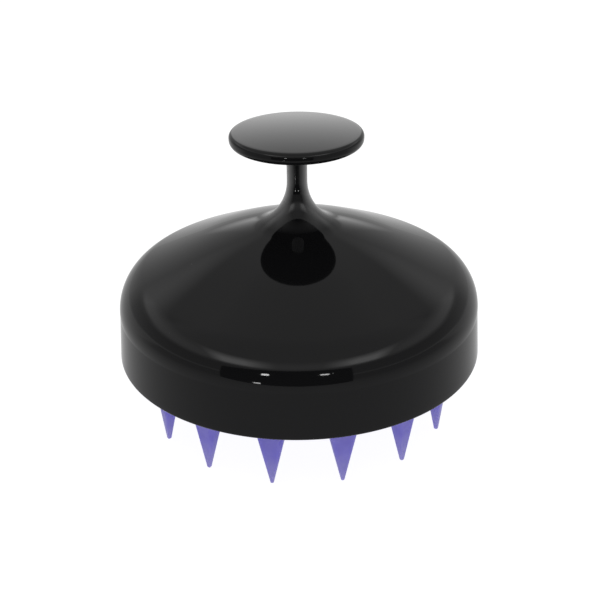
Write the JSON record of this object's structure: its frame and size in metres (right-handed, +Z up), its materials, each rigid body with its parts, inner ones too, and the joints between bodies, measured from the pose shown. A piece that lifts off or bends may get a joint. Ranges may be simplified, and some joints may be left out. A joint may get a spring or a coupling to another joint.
{
  "type": "scalp massager brush",
  "caption": "Round handheld scalp massager: glossy domed body with a thin stem and finger disc above and soft flexing teeth below.",
  "frame": {"origin": "on the brush's axis, in the plane that the tips of the outer teeth stand on", "axes": "+Z up along the stem from the tooth tips to the finger disc; -Y is the side that the camera faces"},
  "size_m": [0.0848, 0.0848, 0.0698],
  "materials": {
    "shell_black": "moulded gloss black",
    "carrier_black": "moulded matte black",
    "screw_steel": "zinc plated",
    "pad_purple": "soft satin",
    "tooth_purple": "soft satin"
  },
  "bodies": {
    "handle_body": {"dome_shell": "shell_black", "knob_disc": "shell_black", "knob_screw": "screw_steel", "carrier_plate": "carrier_black", "carrier_screws": "screw_steel", "tooth_pad": "pad_purple"},
    "tooth_outer_01": {"tooth_outer_01": "tooth_purple"},
    "tooth_outer_02": {"tooth_outer_02": "tooth_purple"},
    "tooth_outer_03": {"tooth_outer_03": "tooth_purple"},
    "tooth_outer_04": {"tooth_outer_04": "tooth_purple"},
    "tooth_outer_05": {"tooth_outer_05": "tooth_purple"},
    "tooth_outer_06": {"tooth_outer_06": "tooth_purple"},
    "tooth_outer_07": {"tooth_outer_07": "tooth_purple"},
    "tooth_outer_08": {"tooth_outer_08": "tooth_purple"},
    "tooth_outer_09": {"tooth_outer_09": "tooth_purple"},
    "tooth_outer_10": {"tooth_outer_10": "tooth_purple"},
    "tooth_outer_11": {"tooth_outer_11": "tooth_purple"},
    "tooth_outer_12": {"tooth_outer_12": "tooth_purple"},
    "tooth_outer_13": {"tooth_outer_13": "tooth_purple"},
    "tooth_outer_14": {"tooth_outer_14": "tooth_purple"},
    "tooth_middle_01": {"tooth_middle_01": "tooth_purple"},
    "tooth_middle_02": {"tooth_middle_02": "tooth_purple"},
    "tooth_middle_03": {"tooth_middle_03": "tooth_purple"},
    "tooth_middle_04": {"tooth_middle_04": "tooth_purple"},
    "tooth_middle_05": {"tooth_middle_05": "tooth_purple"},
    "tooth_middle_06": {"tooth_middle_06": "tooth_purple"},
    "tooth_middle_07": {"tooth_middle_07": "tooth_purple"},
    "tooth_middle_08": {"tooth_middle_08": "tooth_purple"},
    "tooth_inner_01": {"tooth_inner_01": "tooth_purple"},
    "tooth_inner_02": {"tooth_inner_02": "tooth_purple"},
    "tooth_inner_03": {"tooth_inner_03": "tooth_purple"},
    "tooth_inner_04": {"tooth_inner_04": "tooth_purple"}
  },
  "joints": [
    {"name": "tooth_outer_01_flex", "type": "hinge", "parent": "handle_body", "child": "tooth_outer_01", "pos_m": [-0.0302, -0.01606, 0.0182], "axis": [-0.4695, 0.8829, 0], "range_deg": [-15, 15], "stiffness_Nm_per_rad": 0.05},
    {"name": "tooth_outer_02_flex", "type": "hinge", "parent": "handle_body", "child": "tooth_outer_02", "pos_m": [-0.02024, -0.02757, 0.0182], "axis": [-0.8061, 0.5918, 0], "range_deg": [-15, 15], "stiffness_Nm_per_rad": 0.05},
    {"name": "tooth_outer_03_flex", "type": "hinge", "parent": "handle_body", "child": "tooth_outer_03", "pos_m": [-0.00627, -0.03362, 0.0182], "axis": [-0.983, 0.1835, 0], "range_deg": [-15, 15], "stiffness_Nm_per_rad": 0.05},
    {"name": "tooth_outer_04_flex", "type": "hinge", "parent": "handle_body", "child": "tooth_outer_04", "pos_m": [0.00893, -0.03301, 0.0182], "axis": [-0.9653, -0.2612, 0], "range_deg": [-15, 15], "stiffness_Nm_per_rad": 0.05},
    {"name": "tooth_outer_05_flex", "type": "hinge", "parent": "handle_body", "child": "tooth_outer_05", "pos_m": [0.02237, -0.02587, 0.0182], "axis": [-0.7563, -0.6542, 0], "range_deg": [-15, 15], "stiffness_Nm_per_rad": 0.05},
    {"name": "tooth_outer_06_flex", "type": "hinge", "parent": "handle_body", "child": "tooth_outer_06", "pos_m": [0.03138, -0.0136, 0.0182], "axis": [-0.3976, -0.9176, 0], "range_deg": [-15, 15], "stiffness_Nm_per_rad": 0.05},
    {"name": "tooth_outer_07_flex", "type": "hinge", "parent": "handle_body", "child": "tooth_outer_07", "pos_m": [0.03417, 0.00136, 0.0182], "axis": [0.0399, -0.9992, 0], "range_deg": [-15, 15], "stiffness_Nm_per_rad": 0.05},
    {"name": "tooth_outer_08_flex", "type": "hinge", "parent": "handle_body", "child": "tooth_outer_08", "pos_m": [0.0302, 0.01606, 0.0182], "axis": [0.4695, -0.8829, 0], "range_deg": [-15, 15], "stiffness_Nm_per_rad": 0.05},
    {"name": "tooth_outer_09_flex", "type": "hinge", "parent": "handle_body", "child": "tooth_outer_09", "pos_m": [0.02024, 0.02757, 0.0182], "axis": [0.8061, -0.5918, 0], "range_deg": [-15, 15], "stiffness_Nm_per_rad": 0.05},
    {"name": "tooth_outer_10_flex", "type": "hinge", "parent": "handle_body", "child": "tooth_outer_10", "pos_m": [0.00627, 0.03362, 0.0182], "axis": [0.983, -0.1835, 0], "range_deg": [-15, 15], "stiffness_Nm_per_rad": 0.05},
    {"name": "tooth_outer_11_flex", "type": "hinge", "parent": "handle_body", "child": "tooth_outer_11", "pos_m": [-0.00893, 0.03301, 0.0182], "axis": [0.9653, 0.2612, 0], "range_deg": [-15, 15], "stiffness_Nm_per_rad": 0.05},
    {"name": "tooth_outer_12_flex", "type": "hinge", "parent": "handle_body", "child": "tooth_outer_12", "pos_m": [-0.02237, 0.02587, 0.0182], "axis": [0.7563, 0.6542, 0], "range_deg": [-15, 15], "stiffness_Nm_per_rad": 0.05},
    {"name": "tooth_outer_13_flex", "type": "hinge", "parent": "handle_body", "child": "tooth_outer_13", "pos_m": [-0.03138, 0.0136, 0.0182], "axis": [0.3976, 0.9176, 0], "range_deg": [-15, 15], "stiffness_Nm_per_rad": 0.05},
    {"name": "tooth_outer_14_flex", "type": "hinge", "parent": "handle_body", "child": "tooth_outer_14", "pos_m": [-0.03417, -0.00136, 0.0182], "axis": [-0.0399, 0.9992, 0], "range_deg": [-15, 15], "stiffness_Nm_per_rad": 0.05},
    {"name": "tooth_middle_01_flex", "type": "hinge", "parent": "handle_body", "child": "tooth_middle_01", "pos_m": [-0.01782, -0.01202, 0.0182], "axis": [-0.5592, 0.829, 0], "range_deg": [-15, 15], "stiffness_Nm_per_rad": 0.05},
    {"name": "tooth_middle_02_flex", "type": "hinge", "parent": "handle_body", "child": "tooth_middle_02", "pos_m": [-0.0041, -0.0211, 0.0182], "axis": [-0.9816, 0.1908, 0], "range_deg": [-15, 15], "stiffness_Nm_per_rad": 0.05},
    {"name": "tooth_middle_03_flex", "type": "hinge", "parent": "handle_body", "child": "tooth_middle_03", "pos_m": [0.01202, -0.01782, 0.0182], "axis": [-0.829, -0.5592, 0], "range_deg": [-15, 15], "stiffness_Nm_per_rad": 0.05},
    {"name": "tooth_middle_04_flex", "type": "hinge", "parent": "handle_body", "child": "tooth_middle_04", "pos_m": [0.0211, -0.0041, 0.0182], "axis": [-0.1908, -0.9816, 0], "range_deg": [-15, 15], "stiffness_Nm_per_rad": 0.05},
    {"name": "tooth_middle_05_flex", "type": "hinge", "parent": "handle_body", "child": "tooth_middle_05", "pos_m": [0.01782, 0.01202, 0.0182], "axis": [0.5592, -0.829, 0], "range_deg": [-15, 15], "stiffness_Nm_per_rad": 0.05},
    {"name": "tooth_middle_06_flex", "type": "hinge", "parent": "handle_body", "child": "tooth_middle_06", "pos_m": [0.0041, 0.0211, 0.0182], "axis": [0.9816, -0.1908, 0], "range_deg": [-15, 15], "stiffness_Nm_per_rad": 0.05},
    {"name": "tooth_middle_07_flex", "type": "hinge", "parent": "handle_body", "child": "tooth_middle_07", "pos_m": [-0.01202, 0.01782, 0.0182], "axis": [0.829, 0.5592, 0], "range_deg": [-15, 15], "stiffness_Nm_per_rad": 0.05},
    {"name": "tooth_middle_08_flex", "type": "hinge", "parent": "handle_body", "child": "tooth_middle_08", "pos_m": [-0.0211, 0.0041, 0.0182], "axis": [0.1908, 0.9816, 0], "range_deg": [-15, 15], "stiffness_Nm_per_rad": 0.05},
    {"name": "tooth_inner_01_flex", "type": "hinge", "parent": "handle_body", "child": "tooth_inner_01", "pos_m": [-0.0058, -0.00876, 0.0182], "axis": [-0.8339, 0.5519, 0], "range_deg": [-15, 15], "stiffness_Nm_per_rad": 0.05},
    {"name": "tooth_inner_02_flex", "type": "hinge", "parent": "handle_body", "child": "tooth_inner_02", "pos_m": [0.00876, -0.0058, 0.0182], "axis": [-0.5519, -0.8339, 0], "range_deg": [-15, 15], "stiffness_Nm_per_rad": 0.05},
    {"name": "tooth_inner_03_flex", "type": "hinge", "parent": "handle_body", "child": "tooth_inner_03", "pos_m": [0.0058, 0.00876, 0.0182], "axis": [0.8339, -0.5519, 0], "range_deg": [-15, 15], "stiffness_Nm_per_rad": 0.05},
    {"name": "tooth_inner_04_flex", "type": "hinge", "parent": "handle_body", "child": "tooth_inner_04", "pos_m": [-0.00876, 0.0058, 0.0182], "axis": [0.5519, 0.8339, 0], "range_deg": [-15, 15], "stiffness_Nm_per_rad": 0.05}
  ]
}
